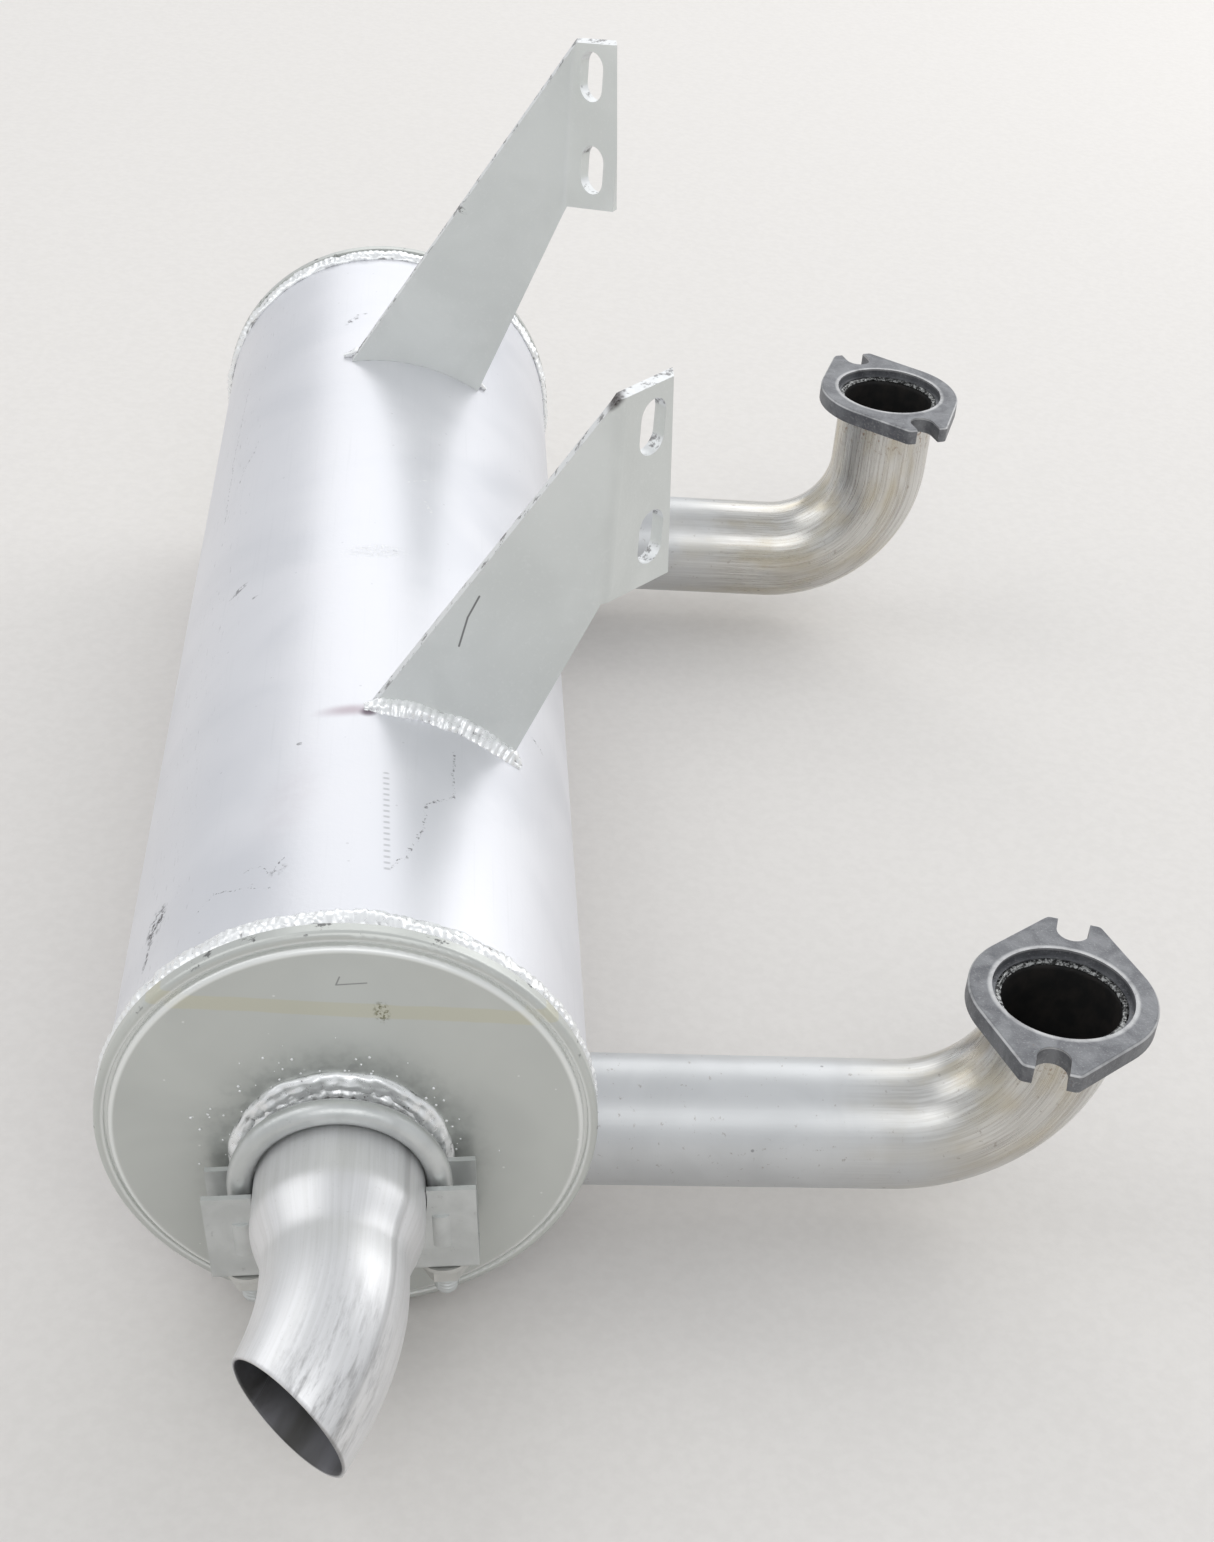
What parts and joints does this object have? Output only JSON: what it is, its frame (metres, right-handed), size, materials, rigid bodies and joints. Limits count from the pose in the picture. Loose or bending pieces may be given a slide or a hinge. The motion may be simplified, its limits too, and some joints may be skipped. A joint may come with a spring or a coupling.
{
  "type": "engine exhaust silencer",
  "caption": "Cylindrical engine exhaust silencer with twin flanged inlet pipes, slotted brackets and a clamped turn-down tailpipe.",
  "frame": {"origin": "centre of the front inlet flange's bore, in the plane of its mating face", "axes": "+Z out of the inlet ports towards the engine, +Y along the body from the outlet end to the rear end, +X away from the body"},
  "size_m": [0.3512, 0.6575, 0.2997],
  "materials": {
    "shell_paint": "satin aluminium paint",
    "cap_paint": "satin aluminium paint over pressed steel",
    "weld_bead": "rough weld bead under aluminium paint",
    "port_weld": "bare weld with soot",
    "inner_steel": "mill finish aluminised steel",
    "inlet_steel": "aluminised steel, heat tinted",
    "flange_steel": "mill scale",
    "bracket_paint": "satin aluminium paint",
    "tail_steel": "aluminised steel",
    "clamp_steel": "satin aluminium paint",
    "nut_steel": "plated steel under thin paint"
  },
  "bodies": {
    "silencer": {"shell": "shell_paint", "front_end_cap": "cap_paint", "rear_end_cap": "cap_paint", "front_cap_weld": "weld_bead", "rear_cap_weld": "weld_bead", "outlet_weld": "weld_bead", "front_inlet_weld": "weld_bead", "rear_inlet_weld": "weld_bead", "front_flange_weld": "port_weld", "rear_flange_weld": "port_weld", "front_bracket_weld": "weld_bead", "rear_bracket_weld": "weld_bead", "front_baffle": "inner_steel", "rear_baffle": "inner_steel", "outlet_tube": "inner_steel", "outlet_tube_plug": "inner_steel", "crossover_tube": "inner_steel", "front_inlet_pipe": "inlet_steel", "rear_inlet_pipe": "inlet_steel", "front_inlet_flange": "flange_steel", "rear_inlet_flange": "flange_steel", "front_bracket": "bracket_paint", "rear_bracket": "bracket_paint"},
    "tail": {"tailpipe": "tail_steel"},
    "clamp": {"clamp_u_bolt": "clamp_steel"},
    "clamp_seat": {"clamp_saddle": "clamp_steel"},
    "left_nut": {"clamp_nut_left": "nut_steel"},
    "right_nut": {"clamp_nut_right": "nut_steel"}
  },
  "joints": [
    {"name": "tailpipe_turn", "type": "hinge", "parent": "silencer", "child": "tail", "pos_m": [-0.2408, -0.0565, -0.0283], "axis": [0, 1, 0], "continuous": true},
    {"name": "clamp_turn", "type": "hinge", "parent": "silencer", "child": "clamp", "pos_m": [-0.2408, -0.0699, -0.0283], "axis": [0, 1, 0], "continuous": true},
    {"name": "saddle_slide", "type": "slide", "parent": "clamp", "child": "clamp_seat", "axis": [0.0785, 0, -0.9969], "range_m": [0, 0.00282]},
    {"name": "left_nut_spin", "type": "hinge", "parent": "clamp_seat", "child": "left_nut", "pos_m": [-0.26904, -0.0699, -0.06207], "axis": [0.0785, 0, -0.9969], "range_deg": [0, 720]},
    {"name": "right_nut_spin", "type": "hinge", "parent": "clamp_seat", "child": "right_nut", "pos_m": [-0.20763, -0.0699, -0.05724], "axis": [0.0785, 0, -0.9969], "range_deg": [0, 720]}
  ],
  "couplings": [
    {"joint": "left_nut_spin", "follows": "saddle_slide", "rad_per_m": 4452.7},
    {"joint": "right_nut_spin", "follows": "saddle_slide", "rad_per_m": 4452.7}
  ]
}
